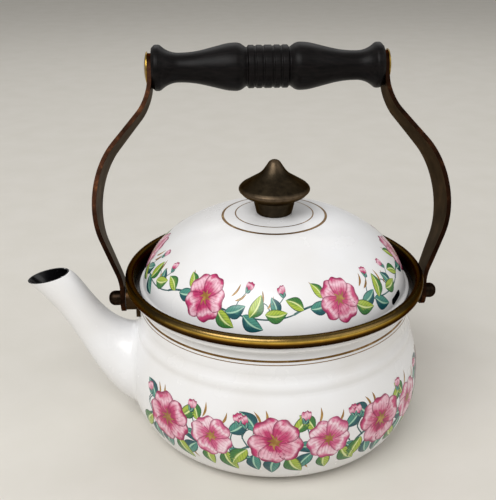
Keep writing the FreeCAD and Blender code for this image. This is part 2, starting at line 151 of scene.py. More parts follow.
def white_porcelain_enamel():
    # Porcelain enamel, sprayed on pressed steel and fired: glossy, faintly wavy, a cool white with
    # a few fired-in specks and slightly creamier where the coat is thin
    material, tree, shader = new_material("white_porcelain_enamel", IOR=1.5)
    place = add(tree, "TexCoord").outputs["Object"]
    thin = add(tree, "TexNoise", {"Vector": place, "Scale": 1 / (55 * MM), "Detail": 3.0})
    tone = add(tree, "ValToRGB", {"Fac": thin.outputs["Fac"]}, [(0.32, "#EAE8E6"), (0.62, "#F1F1F2")])
    cells = add(tree, "TexVoronoi", {"Vector": place, "Scale": 1 / (16 * MM), "Randomness": 1.0})
    dots = add(tree, "ValToRGB", {"Fac": cells.outputs["Distance"]},
               [(0.012, "#FFFFFF"), (0.022, "#000000")])
    picked = add(tree, "Math", {0: cells.outputs["Color"], 1: 0.72}, operation="GREATER_THAN")
    specks = add(tree, "Math", {0: dots.outputs["Color"], 1: picked.outputs[0]}, operation="MULTIPLY")
    colour = add(tree, "Mix", {"Factor": specks.outputs[0], "A": tone.outputs["Color"],
                               "B": srgb("#8B8378")}, data_type="RGBA")
    handled = add(tree, "TexNoise", {"Vector": place, "Scale": 1 / (22 * MM), "Detail": 4.0})
    gloss = add(tree, "MapRange", {"Value": handled.outputs["Fac"], "To Min": 0.23, "To Max": 0.30})
    ripple = add(tree, "TexNoise", {"Vector": place, "Scale": 1 / (26 * MM), "Detail": 0.0})
    bump = add(tree, "Bump", {"Height": ripple.outputs["Fac"], "Strength": 0.06, "Distance": 0.10 * MM})
    wire(tree, shader, Base_Color=colour.outputs["Result"], Roughness=gloss.outputs[0],
         Normal=bump.outputs[0])
    return material


def black_ground_enamel():
    # Ground-coat enamel inside the pot: blue-black, glossy, with pale salt specks
    material, tree, shader = new_material("black_ground_enamel", IOR=1.5)
    place = add(tree, "TexCoord").outputs["Object"]
    cells = add(tree, "TexVoronoi", {"Vector": place, "Scale": 1 / (5 * MM)})
    dots = add(tree, "ValToRGB", {"Fac": cells.outputs["Distance"]}, [(0.04, "#4A4A4E"), (0.10, "#0A0A0C")])
    scale = add(tree, "TexNoise", {"Vector": place, "Scale": 1 / (14 * MM), "Detail": 4.0})
    gloss = add(tree, "MapRange", {"Value": scale.outputs["Fac"], "To Min": 0.14, "To Max": 0.36})
    bump = add(tree, "Bump", {"Height": scale.outputs["Fac"], "Strength": 0.2, "Distance": 0.15 * MM})
    wire(tree, shader, Base_Color=dots.outputs["Color"], Roughness=gloss.outputs[0],
         Normal=bump.outputs[0])
    return material


def aged_rim_brass():
    # Rolled brass band, lacquer worn off: tarnished brown with darker patches and fine scratches along the
    # band.
    # Painted highlight: a bright gold line across the front of the roll; painted shade: darker under the lip
    # and in the fold.
    material, tree, shader = new_material("aged_rim_brass", Metallic=1.0, Specular_Tint=srgb("#B4A68C"))
    place = add(tree, "TexCoord").outputs["Object"]
    at = add(tree, "SeparateXYZ", {"Vector": place})
    # Colours by height, from under the lip (0) to the top of the roll (1): painted shade low down, a painted
    # highlight line on the roll, over tarnish brown
    level = add(tree, "MapRange", {"Value": at.outputs["Z"], "From Min": 99.6 * MM, "From Max": 106.6 * MM})
    painted_highlight_band = add(tree, "ValToRGB", {"Fac": level.outputs[0]},
                 [(0.0, "#140B04"), (0.26, "#211305"), (0.46, "#42290C"), (0.59, "#B98A32"),
                  (0.70, "#F4CC60"), (0.84, "#9A7E4A"), (1.0, "#5A4A2C")])
    tarnish_with_painted_shade = add(tree, "ValToRGB", {"Fac": level.outputs[0]},
                  [(0.0, "#2A2013"), (0.30, "#33281A"), (0.70, "#4E3F27"), (1.0, "#392E1E")])
    # Painted highlight: the front of the band, where the key light reflects, takes the bright colours and
    # the sides keep tarnish brown; the mix called worn carries this painted highlight
    painted_highlight_front_mask = add(tree, "MapRange", {"Value": at.outputs["Y"], "From Min": -60 * MM, "From Max": -92 * MM})
    worn = add(tree, "Mix", {"Factor": painted_highlight_front_mask.outputs[0], "A": tarnish_with_painted_shade.outputs["Color"],
                             "B": painted_highlight_band.outputs["Color"]}, data_type="RGBA")
    flat = add(tree, "CombineXYZ", {"X": at.outputs["X"], "Y": at.outputs["Y"]})
    reach = add(tree, "VectorMath", {0: flat.outputs[0]}, operation="LENGTH")
    # Painted shade in the fold of the band, inside 91 mm, where shade falls between band and lid
    painted_fold_shade_mask = add(tree, "MapRange", {"Value": reach.outputs["Value"], "From Min": 91.2 * MM,
                                  "From Max": 89.8 * MM, "To Max": 0.7})
    with_painted_fold_shade = add(tree, "Mix", {"Factor": painted_fold_shade_mask.outputs[0], "A": worn.outputs["Result"], "B": srgb("#15110B")},
                 data_type="RGBA")
    tarnish = add(tree, "TexNoise", {"Vector": place, "Scale": 1 / (18 * MM), "Detail": 6.0,
                                     "Roughness": 0.65})
    patches = add(tree, "MapRange", {"Value": tarnish.outputs["Fac"], "From Min": 0.45, "From Max": 0.75,
                                     "To Max": 0.55})
    colour = add(tree, "Mix", {"Factor": patches.outputs[0], "A": with_painted_fold_shade.outputs["Result"],
                               "B": srgb("#2B2212")}, data_type="RGBA")
    gloss = add(tree, "MapRange", {"Value": tarnish.outputs["Fac"], "To Min": 0.18, "To Max": 0.36})
    spread = add(tree, "Mapping", {"Vector": place, "Scale": (1.0, 1.0, 30.0)})
    scratches = add(tree, "TexNoise", {"Vector": spread.outputs[0], "Scale": 1 / (20 * MM), "Detail": 8.0})
    bump = add(tree, "Bump", {"Height": scratches.outputs["Fac"], "Strength": 0.15, "Distance": 0.08 * MM})
    wire(tree, shader, Base_Color=colour.outputs["Result"], Roughness=gloss.outputs[0],
         Normal=bump.outputs[0])
    return material


def antique_strap_bronze():
    # Copper-plated steel strap, darkened chemically: deep olive brown with paler rubbed clouds
    material, tree, shader = new_material("antique_strap_bronze", Metallic=1.0,
                                          Specular_Tint=srgb("#BEBAB4"))
    place = add(tree, "TexCoord").outputs["Object"]
    cloud = add(tree, "TexNoise", {"Vector": place, "Scale": 1 / (16 * MM), "Detail": 6.0, "Roughness": 0.6})
    colour = add(tree, "ValToRGB", {"Fac": cloud.outputs["Fac"]},
                 [(0.30, "#281D13"), (0.55, "#3C2C1C"), (0.80, "#5A422A")])
    gloss = add(tree, "MapRange", {"Value": cloud.outputs["Fac"], "To Min": 0.52, "To Max": 0.34})
    drawn = add(tree, "Mapping", {"Vector": place, "Scale": (1.0, 1.0, 0.06)})
    lines = add(tree, "TexNoise", {"Vector": drawn.outputs[0], "Scale": 1 / (1.2 * MM), "Detail": 3.0})
    bump = add(tree, "Bump", {"Height": lines.outputs["Fac"], "Strength": 0.2, "Distance": 0.06 * MM})
    wire(tree, shader, Base_Color=colour.outputs["Color"], Roughness=gloss.outputs[0],
         Normal=bump.outputs[0])
    return material


def rubbed_strap_copper():
    # The same plating on the strap's edges, polished back to warm copper with brown left in the nicks
    material, tree, shader = new_material("rubbed_strap_copper", Metallic=1.0, Specular_Tint=srgb("#C8B4A2"))
    place = add(tree, "TexCoord").outputs["Object"]
    nicks = add(tree, "TexNoise", {"Vector": place, "Scale": 1 / (9 * MM), "Detail": 7.0, "Roughness": 0.7})
    colour = add(tree, "ValToRGB", {"Fac": nicks.outputs["Fac"]},
                 [(0.36, "#1C110B"), (0.56, "#301C12"), (0.78, "#603C22")])
    gloss = add(tree, "MapRange", {"Value": nicks.outputs["Fac"], "To Min": 0.45, "To Max": 0.26})
    bump = add(tree, "Bump", {"Height": nicks.outputs["Fac"], "Strength": 0.2, "Distance": 0.08 * MM})
    wire(tree, shader, Base_Color=colour.outputs["Color"], Roughness=gloss.outputs[0],
         Normal=bump.outputs[0])
    return material


def satin_cap_brass():
    # Turned brass caps: yellow, satin, with fine lathe rings about the grip's line
    material, tree, shader = new_material("satin_cap_brass", Metallic=1.0)
    place = add(tree, "TexCoord").outputs["Object"]
    rise = (GRIP_Z - PIVOT_Z) * MM
    grip_line = (0.0, rise * math.sin(HANDLE_LEAN), PIVOT_Z * MM + rise * math.cos(HANDLE_LEAN))
    centred = add(tree, "Mapping", {"Vector": place, "Location": [-step for step in grip_line]})
    # Lathe rings drawn at 0.8 mm, coarser than real, so that they show
    rings = add(tree, "TexWave", {"Vector": centred.outputs[0], "Scale": WAVE_UNIT / (0.8 * MM),
                                  "Distortion": 0.4}, wave_type="RINGS", rings_direction="X")
    dull = add(tree, "TexNoise", {"Vector": place, "Scale": 1 / (5 * MM), "Detail": 5.0})
    colour = add(tree, "ValToRGB", {"Fac": dull.outputs["Fac"]}, [(0.3, "#8A6E2C"), (0.7, "#C4A24C")])
    gloss = add(tree, "MapRange", {"Value": dull.outputs["Fac"], "To Min": 0.38, "To Max": 0.22})
    bump = add(tree, "Bump", {"Height": rings.outputs["Fac"], "Strength": 0.15, "Distance": 0.03 * MM})
    wire(tree, shader, Base_Color=colour.outputs["Color"], Roughness=gloss.outputs[0],
         Normal=bump.outputs[0])
    return material


def cast_knob_bronze():
    # Cast knob, browned: olive-dark, with warm metal showing on the flange's edge and the point
    material, tree, shader = new_material("cast_knob_bronze", Metallic=1.0, Specular_Tint=srgb("#B8AC9C"))
    place = add(tree, "TexCoord").outputs["Object"]
    at = add(tree, "SeparateXYZ", {"Vector": place})
    flat = add(tree, "CombineXYZ", {"X": at.outputs["X"], "Y": at.outputs["Y"]})
    reach = add(tree, "VectorMath", {0: flat.outputs[0]}, operation="LENGTH")
    edge = add(tree, "MapRange", {"Value": reach.outputs["Value"], "From Min": 20.6 * MM,
                                  "From Max": 22.4 * MM})
    point = add(tree, "MapRange", {"Value": at.outputs["Z"], "From Min": 171 * MM, "From Max": 179 * MM})
    worn = add(tree, "Math", {0: edge.outputs[0], 1: point.outputs[0]}, operation="MAXIMUM")
    grain = add(tree, "TexNoise", {"Vector": place, "Scale": 1 / (4 * MM), "Detail": 7.0, "Roughness": 0.65})
    broken = add(tree, "Math", {0: worn.outputs[0], 1: grain.outputs["Fac"]}, operation="MULTIPLY")
    dark = add(tree, "ValToRGB", {"Fac": grain.outputs["Fac"]}, [(0.3, "#29231B"), (0.7, "#40372A")])
    colour = add(tree, "Mix", {"Factor": broken.outputs[0], "A": dark.outputs["Color"],
                               "B": srgb("#84705A")}, data_type="RGBA")
    gloss = add(tree, "MapRange", {"Value": grain.outputs["Fac"], "To Min": 0.36, "To Max": 0.52})
    # Lathe rings drawn at 1.1 mm, coarser than real, so that they show
    rings = add(tree, "TexWave", {"Vector": place, "Scale": WAVE_UNIT / (1.1 * MM), "Distortion": 0.6},
                wave_type="RINGS", rings_direction="Z")
    rough = add(tree, "Math", {0: rings.outputs["Fac"], 1: grain.outputs["Fac"]}, operation="ADD")
    bump = add(tree, "Bump", {"Height": rough.outputs[0], "Strength": 0.12, "Distance": 0.06 * MM})
    wire(tree, shader, Base_Color=colour.outputs["Result"], Roughness=gloss.outputs[0],
         Normal=bump.outputs[0])
    return material


def browned_nut_bronze():
    # Browned cap nuts: near black in the hollows, a dull warm shine on the dome
    material, tree, shader = new_material("browned_nut_bronze", Metallic=1.0, Specular_Tint=srgb("#B0A498"))
    place = add(tree, "TexCoord").outputs["Object"]
    grain = add(tree, "TexNoise", {"Vector": place, "Scale": 1 / (2.5 * MM), "Detail": 6.0})
    colour = add(tree, "ValToRGB", {"Fac": grain.outputs["Fac"]}, [(0.3, "#17120E"), (0.72, "#30251C")])
    gloss = add(tree, "MapRange", {"Value": grain.outputs["Fac"], "To Min": 0.28, "To Max": 0.46})
    bump = add(tree, "Bump", {"Height": grain.outputs["Fac"], "Strength": 0.2, "Distance": 0.05 * MM})
    wire(tree, shader, Base_Color=colour.outputs["Color"], Roughness=gloss.outputs[0],
         Normal=bump.outputs[0])
    return material


def black_turned_wood():
    # Turned hardwood, stained and waxed black: satin, with grain along the grip and faint tool rings
    material, tree, shader = new_material("black_turned_wood", IOR=1.48, Specular_IOR_Level=0.12)
    place = add(tree, "TexCoord").outputs["Object"]
    along = add(tree, "Mapping", {"Vector": place, "Scale": (0.05, 1.0, 1.0)})
    grain = add(tree, "TexNoise", {"Vector": along.outputs[0], "Scale": 1 / (1.4 * MM), "Detail": 6.0})
    colour = add(tree, "ValToRGB", {"Fac": grain.outputs["Fac"]}, [(0.35, "#060505"), (0.70, "#141010")])
    waxed = add(tree, "TexNoise", {"Vector": place, "Scale": 1 / (12 * MM), "Detail": 4.0})
    gloss = add(tree, "MapRange", {"Value": waxed.outputs["Fac"], "To Min": 0.32, "To Max": 0.48})
    bump = add(tree, "Bump", {"Height": grain.outputs["Fac"], "Strength": 0.25, "Distance": 0.08 * MM})
    wire(tree, shader, Base_Color=colour.outputs["Color"], Roughness=gloss.outputs[0],
         Normal=bump.outputs[0])
    return material


def plated_steel():
    # Zinc-plated screws, rivets and washers: grey, dull, slightly blotched
    material, tree, shader = new_material("plated_steel", Metallic=1.0)
    place = add(tree, "TexCoord").outputs["Object"]
    blotch = add(tree, "TexNoise", {"Vector": place, "Scale": 1 / (3 * MM), "Detail": 5.0})
    colour = add(tree, "ValToRGB", {"Fac": blotch.outputs["Fac"]}, [(0.3, "#77777A"), (0.7, "#ABABAD")])
    gloss = add(tree, "MapRange", {"Value": blotch.outputs["Fac"], "To Min": 0.30, "To Max": 0.50})
    wire(tree, shader, Base_Color=colour.outputs["Color"], Roughness=gloss.outputs[0])
    return material


def gilt_line():
    # Gold lustre fired on the enamel: thin, bright where it is whole, pale where cloths have rubbed it
    material, tree, shader = new_material("gilt_line", IOR=1.5)
    place = add(tree, "TexCoord").outputs["Object"]
    wear = add(tree, "TexNoise", {"Vector": place, "Scale": 1 / (9 * MM), "Detail": 6.0, "Roughness": 0.7})
    gold = add(tree, "ValToRGB", {"Fac": wear.outputs["Fac"]},
               [(0.35, "#72532A"), (0.58, "#93713F"), (0.82, "#CDB88F")])
    metal = add(tree, "MapRange", {"Value": wear.outputs["Fac"], "From Min": 0.76, "From Max": 0.55,
                                   "To Max": 0.8})
    gloss = add(tree, "MapRange", {"Value": wear.outputs["Fac"], "To Min": 0.28, "To Max": 0.40})
    wire(tree, shader, Base_Color=gold.outputs["Color"], Metallic=metal.outputs[0],
         Roughness=gloss.outputs[0])
    return material


def printed_petal(name, throat, middle, edge, line):
    # Ceramic transfer under the glaze: watercolour petals, deep at the throat, veined, with a drawn outline
    material, tree, shader = new_material(name, IOR=1.5, Roughness=0.2)
    uv = add(tree, "UVMap").outputs["UV"]
    at = add(tree, "SeparateXYZ", {"Vector": uv})
    side = add(tree, "Math", {0: at.outputs["X"], 1: 2.0, 2: -1.0}, operation="MULTIPLY_ADD")
    out = add(tree, "Math", {0: side.outputs[0]}, operation="ABSOLUTE")
    place = add(tree, "TexCoord").outputs["Object"]
    wash = add(tree, "TexNoise", {"Vector": place, "Scale": 1 / (6 * MM), "Detail": 3.0})
    drift = add(tree, "Math", {0: wash.outputs["Fac"], 1: 1.1, 2: -0.55}, operation="MULTIPLY_ADD")
    reach = add(tree, "Math", {0: at.outputs["Y"], 1: drift.outputs[0]}, operation="ADD")
    tint = add(tree, "ValToRGB", {"Fac": reach.outputs[0]},
               [(0.05, throat), (0.34, middle), (0.72, edge), (0.95, middle)])
    veins = add(tree, "TexWave", {"Vector": uv, "Scale": WAVE_UNIT * PRINT_VEINS, "Distortion": 2.2,
                                  "Detail": 2.0}, bands_direction="X")
    fade = add(tree, "MapRange", {"Value": at.outputs["Y"], "From Min": 0.95, "From Max": 0.15,
                                  "To Max": 0.75})
    drawn = add(tree, "MapRange", {"Value": veins.outputs["Fac"], "From Min": 0.72, "From Max": 0.95})
    vein = add(tree, "Math", {0: drawn.outputs[0], 1: fade.outputs[0]}, operation="MULTIPLY")
    veined = add(tree, "Mix", {"Factor": vein.outputs[0], "A": tint.outputs["Color"], "B": srgb(throat)},
                 data_type="RGBA")
    border = add(tree, "Math", {0: out.outputs[0], 1: at.outputs["Y"]}, operation="MAXIMUM")
    outline = add(tree, "MapRange", {"Value": border.outputs[0], "From Min": 0.86, "From Max": 0.95,
                                     "To Max": 0.85})
    colour = add(tree, "Mix", {"Factor": outline.outputs[0], "A": veined.outputs["Result"], "B": srgb(line)},
                 data_type="RGBA")
    wire(tree, shader, Base_Color=colour.outputs["Result"])
    return material


def printed_leaf(name, light, dark, rib, line):
    # Ceramic transfer leaf: one half in light, one in shade, a pale midrib, side veins and a drawn outline
    material, tree, shader = new_material(name, IOR=1.5, Roughness=0.2)
    uv = add(tree, "UVMap").outputs["UV"]
    at = add(tree, "SeparateXYZ", {"Vector": uv})
    side = add(tree, "Math", {0: at.outputs["X"], 1: 2.0, 2: -1.0}, operation="MULTIPLY_ADD")
    out = add(tree, "Math", {0: side.outputs[0]}, operation="ABSOLUTE")
    place = add(tree, "TexCoord").outputs["Object"]
    wash = add(tree, "TexNoise", {"Vector": place, "Scale": 1 / (5 * MM), "Detail": 4.0})
    drift = add(tree, "Math", {0: wash.outputs["Fac"], 1: 0.9, 2: -0.45}, operation="MULTIPLY_ADD")
    across = add(tree, "Math", {0: at.outputs["X"], 1: drift.outputs[0]}, operation="ADD")
    tint = add(tree, "ValToRGB", {"Fac": across.outputs[0]}, [(0.30, light), (0.68, dark)])
    slant = add(tree, "Math", {0: out.outputs[0], 1: -0.30, 2: at.outputs["Y"]}, operation="MULTIPLY_ADD")
    rows = add(tree, "CombineXYZ", {"X": slant.outputs[0]})
    veins = add(tree, "TexWave", {"Vector": rows.outputs[0], "Scale": WAVE_UNIT * PRINT_VEINS,
                                  "Distortion": 0.3}, bands_direction="X")
    drawn = add(tree, "MapRange", {"Value": veins.outputs["Fac"], "From Min": 0.80, "From Max": 0.98,
                                   "To Max": 0.5})
    veined = add(tree, "Mix", {"Factor": drawn.outputs[0], "A": tint.outputs["Color"], "B": srgb(line)},
                 data_type="RGBA")
    middle = add(tree, "MapRange", {"Value": out.outputs[0], "From Min": 0.16, "From Max": 0.07})
    ribbed = add(tree, "Mix", {"Factor": middle.outputs[0], "A": veined.outputs["Result"], "B": srgb(rib)},
                 data_type="RGBA")
    outline = add(tree, "MapRange", {"Value": out.outputs[0], "From Min": 0.80, "From Max": 0.94,
                                     "To Max": 0.9})
    colour = add(tree, "Mix", {"Factor": outline.outputs[0], "A": ribbed.outputs["Result"], "B": srgb(line)},
                 data_type="RGBA")
    wire(tree, shader, Base_Color=colour.outputs["Result"])
    return material


def printed_line(name, code, faded):
    # Ceramic transfer line work: stems and stamens in one colour that thins here and there
    material, tree, shader = new_material(name, IOR=1.5, Roughness=0.2)
    place = add(tree, "TexCoord").outputs["Object"]
    ink = add(tree, "TexNoise", {"Vector": place, "Scale": 1 / (4 * MM), "Detail": 3.0})
    colour = add(tree, "ValToRGB", {"Fac": ink.outputs["Fac"]}, [(0.45, code), (0.80, faded)])
    wire(tree, shader, Base_Color=colour.outputs["Color"])
    return material


WHITE = white_porcelain_enamel()
BLACK = black_ground_enamel()
BRONZE = antique_strap_bronze()
COPPER = rubbed_strap_copper()
GILT = gilt_line()
STEEL = plated_steel()

NODE_FINISHES = {
    "rim_band": aged_rim_brass(),
    "knob": cast_knob_bronze(),
    "grip": black_turned_wood(),
    "lid_collar": BLACK,
    "grip_rod": STEEL,
    "knob_screw": STEEL,
    "knob_washer": STEEL,
}
for stem, finish in (
    ("ear", BRONZE), ("ear_rivets", STEEL), ("pivot_stud", STEEL), ("pivot_washer", STEEL),
    ("cap_nut", browned_nut_bronze()), ("grip_cap", satin_cap_brass()),
):
    for side, _ in SIDES:
        NODE_FINISHES[stem + "_" + side] = finish
for name, finish in NODE_FINISHES.items():
    for material_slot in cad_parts[name].material_slots:
        material_slot.material = finish


# Enamelled sheets

def enamelled(name, node, body, is_inside):
    """A merged copy of a sheet, white outside and black inside, with the sheet's own smooth normals.

    It returns the copy's surface as a search tree, for laying other pieces on it."""
    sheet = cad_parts[node].data
    bm = bmesh.new()
    bm.from_mesh(sheet)
    normals = bm.loops.layers.float_vector.new("sheet_normal")
    loops = [loop for face in bm.faces for loop in face.loops]
    for loop, corner in zip(loops, sheet.corner_normals):
        loop[normals] = corner.vector
    bmesh.ops.remove_doubles(bm, verts=bm.verts, dist=SEAM_TOLERANCE * MM)
    for face in bm.faces:
        face.material_index = int(is_inside(face.calc_center_median(), face.normal))
    smooth = [Vector(loop[normals]) for face in bm.faces for loop in face.loops]
    bm.loops.layers.float_vector.remove(normals)
    surface = BVHTree.FromBMesh(bm)
    obj = piece(name, bm, body, [WHITE, BLACK], [node])
    obj.data.normals_split_custom_set(smooth)
    return surface


def inside_pot(place, normal):
    """True on faces that look to the axis or up, and not on the underside."""
    outward = Vector((place.x, place.y, 0)).normalized()
    return normal.dot(outward) < 0.02 and normal.z > -0.7


def inside_lid(place, normal):
    """True on faces that don't look away from that point on the axis."""
    return normal.dot((place - UP * LID_INNER_Z * MM).normalized()) < 0.1


def inside_spout(place, normal):
    """True on the bore and on the rim of the mouth."""
    knots = [Vector((x, 0, z)) * MM for x, z in SPOUT_AXIS]
    axis = [a.lerp(b, k / AXIS_STEPS) for a, b in zip(knots, knots[1:]) for k in range(AXIS_STEPS + 1)]
    nearest = min(axis, key=lambda point: (point - place).length)
    return normal.dot((place - nearest).normalized()) < 0.5


pot_surface = enamelled("enamelled_pot", "body_shell", "kettle", inside_pot)
spout_surface = enamelled("enamelled_spout", "spout", "kettle", inside_spout)
lid_surface = enamelled("enamelled_lid", "lid_shell", "lid", inside_lid)


def spout_seam():
    """Enamel pooled in the corner where the spout meets the belly: a hollow strip round the spout's root."""
    bm = bmesh.new()
    bm.from_mesh(bpy.data.objects["enamelled_spout"].data)
    seat = set()
    for face in bm.faces:
        _, normal, _, gap = pot_surface.find_nearest(face.calc_center_median())
        if gap < SEAT_GAP * MM and face.normal.dot(normal) < -0.8:
            seat.add(face)
    rims = {edge for edge in bm.edges if len(seat.intersection(edge.link_faces)) == 1}
    # Of the two rims of the seat, the outer one reaches farthest to the side
    edge = max(rims, key=lambda rim: rim.verts[0].co.y)
    root = [edge.verts[0]]
    while edge.other_vert(root[-1]) is not root[0]:
        root.append(edge.other_vert(root[-1]))
        edge = next(other for other in root[-1].link_edges if other in rims and other is not edge)
    curves = []
    for vert in root:
        pot_normal = pot_surface.find_nearest(vert.co)[1]
        open_faces = [face for face in vert.link_faces if face not in seat]
        spout_normal = sum((face.normal for face in open_faces), Vector()).normalized()
        up_spout = (pot_normal - spout_normal * pot_normal.dot(spout_normal)).normalized()
        along_pot = (spout_normal - pot_normal * pot_normal.dot(spout_normal)).normalized()
        top = spout_surface.find_nearest(vert.co + up_spout * SEAM_R * MM)[0]
        foot = pot_surface.find_nearest(vert.co + along_pot * SEAM_R * MM)[0]
        curves.append((top, vert.co.copy(), foot))
    bm.free()
    bm = bmesh.new()
    bmesh.ops.create_grid(bm, x_segments=len(curves), y_segments=8, size=0.5)
    for vert in bm.verts:
        top, corner, foot = curves[round((vert.co.x + 0.5) * len(curves)) % len(curves)]
        along = vert.co.y + 0.5
        vert.co = top.lerp(corner, along).lerp(corner.lerp(foot, along), along)
    bmesh.ops.remove_doubles(bm, verts=bm.verts, dist=SEAM_TOLERANCE * MM)
    bmesh.ops.recalc_face_normals(bm, faces=bm.faces)
    piece("spout_seam", bm, "kettle", [WHITE])


spout_seam()


# Strap arms

def strap_half_width(z):
    """Half width of the strap at a height, eased over its corners; round at the two eyes."""
    def straight(height):
        for (z0, w0), (z1, w1) in zip(STRAP_HALF_WIDTHS, STRAP_HALF_WIDTHS[1:]):
            if height <= z1:
                return w0 + (w1 - w0) * max(height - z0, 0) / (z1 - z0)
        return STRAP_HALF_WIDTHS[-1][1]

    if z < PIVOT_Z:
        return math.sqrt(max(TAB_R ** 2 - (PIVOT_Z - z) ** 2, 0))
    if z > GRIP_Z:
        return math.sqrt(max(GRIP_TAB_R ** 2 - (z - GRIP_Z) ** 2, 0))
    reach = min(STRAP_EASE, z - PIVOT_Z, GRIP_Z - z)
    return sum(straight(z + reach * share) for share in (-1, -0.6, -0.2, 0.2, 0.6, 1)) / 6


def strap_arm(side, sign):
    """A flat strap, bent along its centre line, rounded at both eyes, with soft worn edges."""
    quarter = [math.pi / 2 * k / TAB_ROWS for k in range(TAB_ROWS + 1)]
    line = [(STRAP_LOW_X, PIVOT_Z - TAB_R * math.cos(a), 0) for a in quarter]
    line += STRAP_BENDS
    line += [(STRAP_TOP_X, GRIP_Z + GRIP_TAB_R * math.sin(a), 0) for a in quarter]
    bm = bmesh.new()
    # Drawn with a half width of 1, for strap_half_width to scale
    points = [bm.verts.new((sign * x * MM, -1, z * MM)) for x, z, _ in line]
    for pair in zip(points, points[1:]):
        bm.edges.new(pair)
    for point, (_, _, bend) in zip(points, line):
        if bend:
            back, ahead = (edge.other_vert(point).co - point.co for edge in point.link_edges)
            turn = math.pi - back.angle(ahead)
            bmesh.ops.bevel(
                bm, geom=[point], offset=bend * MM * math.tan(turn / 2), offset_type="OFFSET",
                segments=max(4, round(bend * turn / STRAP_ROW)), profile=0.5, affect="VERTICES", material=-1)
    for edge in bm.edges[:]:
        cuts = int(edge.calc_length() / (STRAP_ROW * MM))
        if cuts:
            bmesh.ops.subdivide_edges(bm, edges=[edge], cuts=cuts)
    made = bmesh.ops.extrude_edge_only(bm, edges=bm.edges[:])["geom"]
    across = [item for item in made if isinstance(item, bmesh.types.BMVert)]
    bmesh.ops.translate(bm, verts=across, vec=(0, 2, 0))
    ribs = [edge for edge in bm.edges if abs(edge.verts[0].co.y - edge.verts[1].co.y) > 1]
    bmesh.ops.subdivide_edges(bm, edges=ribs, cuts=7, use_grid_fill=True)
    for vert in bm.verts:
        vert.co.y *= strap_half_width(vert.co.z / MM) * MM
    bmesh.ops.remove_doubles(bm, verts=bm.verts, dist=SEAM_TOLERANCE * MM)
    lean = Matrix.Rotation(-HANDLE_LEAN, 3, "X")
    bmesh.ops.rotate(bm, verts=bm.verts, cent=UP * PIVOT_Z * MM, matrix=lean)
    bmesh.ops.recalc_face_normals(bm, faces=bm.faces)
    arm = piece("strap_arm_" + side, bm, "handle", [BRONZE, COPPER],
                ["handle_arm_" + side])
    wall = arm.modifiers.new("strap_thickness", "SOLIDIFY")
    wall.thickness = STRAP_THICKNESS * MM
    wall.offset = 0
    wall.use_even_offset = True
    wall.material_offset_rim = 1
    edge_round = arm.modifiers.new("worn_edges", "BEVEL")
    edge_round.width = STRAP_EDGE_ROUND * MM
    edge_round.segments = 4
    edge_round.limit_method = "ANGLE"
    edge_round.angle_limit = math.radians(50)
    edge_round.material = 1
    edge_round.harden_normals = True


for side, sign in SIDES:
    strap_arm(side, sign)


# Gilt lines and printed garlands: thin films on the enamel, with their lifts off it in millimetres

GILT_LIFT = 0.05


def skin_point(surface, centre, azimuth, elevation, lift):
    """The point over a surface on the ray from a centre, lifted off along the surface's normal."""
    ray = Vector((math.cos(azimuth) * math.cos(elevation), math.sin(azimuth) * math.cos(elevation),
                  math.sin(elevation)))
    hit, normal = surface.ray_cast(centre + ray, -ray)[:2]
    return hit + normal * lift


def gilt_ring(name, surface, low, high, body):
    """A gilt line round the axis, between two elevations seen from the origin."""
    bm = bmesh.new()
    rows = [low + (high - low) * k / 3 for k in range(4)]
    # Its height and radius are taken at the front, clear of the spout and the vent
    points = [skin_point(surface, Vector(), -math.pi / 2, angle, GILT_LIFT * MM) for angle in rows]
    verts = [bm.verts.new((0, -math.hypot(point.x, point.y), point.z)) for point in points]
    edges = [bm.edges.new(pair) for pair in zip(verts, verts[1:])]
    bmesh.ops.spin(bm, geom=verts + edges, cent=(0, 0, 0), axis=UP, angle=FULL_TURN, steps=RING_STEPS,
                   use_merge=True)
    bmesh.ops.remove_doubles(bm, verts=bm.verts, dist=SEAM_TOLERANCE * MM)
    bmesh.ops.recalc_face_normals(bm, faces=bm.faces)
    piece(name, bm, body, [GILT])


def angle_at(radius, z):
    """Elevation, seen from the origin, of a point at a radius and a height."""
    return math.atan2(z, radius)


gilt_ring("gilt_line_wide", pot_surface, angle_at(86.2, 86.7), angle_at(86.0, 88.1), "kettle")
gilt_ring("gilt_line_fine", pot_surface, angle_at(86.6, 84.9), angle_at(86.6, 85.5), "kettle")
gilt_ring("gilt_crown_wide", lid_surface, angle_at(33.3, 143.3), angle_at(31.7, 143.4), "lid")
gilt_ring("gilt_crown_fine", lid_surface, angle_at(24.7, 143.8), angle_at(23.9, 143.8), "lid")

# Layers of the print over the enamel, steps between them, and the widths of its thin lines
STEM_LAYER = 0.04
TWIG_LAYER = 0.05
LEAF_LAYER = 0.06
LEAF_STEP = 0.02
BUD_LAYER = 0.10
BLOSSOM_LAYER = 0.11
PETAL_STEP = 0.012
STAMEN_STEP = 0.07
EYE_STEP = 0.08
BLADE_WIDTH = 1.5
TENDRIL_WIDTH = 0.7

# Least rows along a stalk, the length that adds one more, and the parts of a blossom
STALK_ROWS = 8
STALK_STEP = 1.5
PETALS = 5
STAMENS = 7
EYE_PARTS = 3
PETAL_TURN = 360 / PETALS

PETAL_A, PETAL_B, LEAF_A, LEAF_B, STEM, STAMEN = range(6)
PRINTS = [
    printed_petal("printed_petal_rose", "#97194C", "#C83F73", "#F4CBD8", "#86204C"),
    printed_petal("printed_petal_blush", "#A8285A", "#D66891", "#F8DFE7", "#96305C"),
    printed_leaf("printed_leaf_green", "#AFC447", "#3F7A3C", "#DDE6A0", "#24472D"),
    printed_leaf("printed_leaf_teal", "#4F9484", "#1B555C", "#A9D2B8", "#143C42"),
    printed_line("printed_stem", "#2C5557", "#6B8C85"),
    printed_line("printed_stamen", "#94692B", "#CBA65C"),
]


